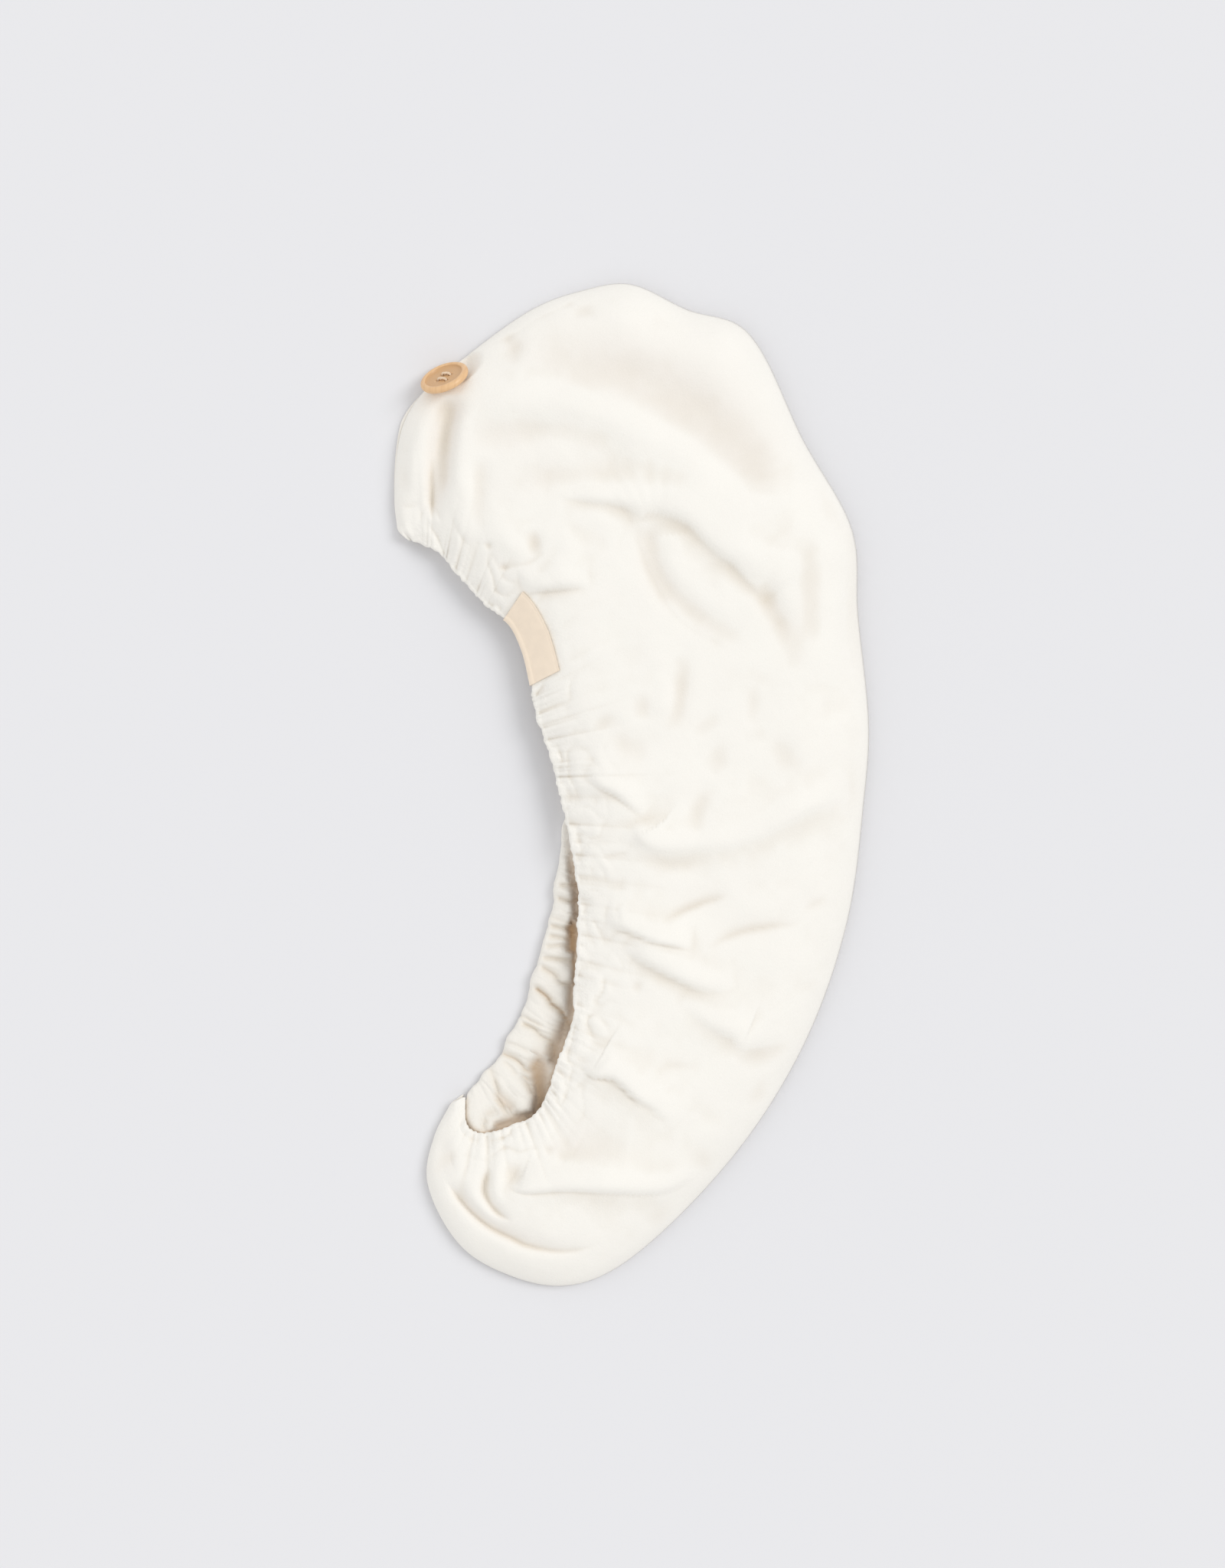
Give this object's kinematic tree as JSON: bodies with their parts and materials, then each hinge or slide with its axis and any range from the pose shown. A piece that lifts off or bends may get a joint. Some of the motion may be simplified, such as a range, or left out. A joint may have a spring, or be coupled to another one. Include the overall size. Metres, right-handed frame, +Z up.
{
  "type": "hair towel",
  "caption": "Curved plush hair towel lying flat: two panels sewn along the convex edge, a gathered elastic mouth on the concave edge, a wooden button and a blank label.",
  "frame": {"origin": "on the surface that the towel lies on, under the centre of its bounding box", "axes": "+Y towards the wide crown end with the button, -Y towards the rounded tail, -X towards the open mouth, +Z up"},
  "size_m": [0.2841, 0.6003, 0.0435],
  "materials": {
    "plush": "soft short plush, matt, off-white",
    "hem_plush": "looped plush gathered over elastic, matt, off-white",
    "label_cloth": "fine woven satin, cream, blank",
    "button_wood": "turned pale wood, smooth with a thin clear coat",
    "sewing_thread": "twisted cotton thread, cream"
  },
  "bodies": {
    "root": {"upper_panel": "plush", "lower_panel": "plush", "upper_hem": "hem_plush", "lower_hem": "hem_plush", "label": "label_cloth", "button": "button_wood", "button_thread": "sewing_thread"}
  },
  "joints": []
}
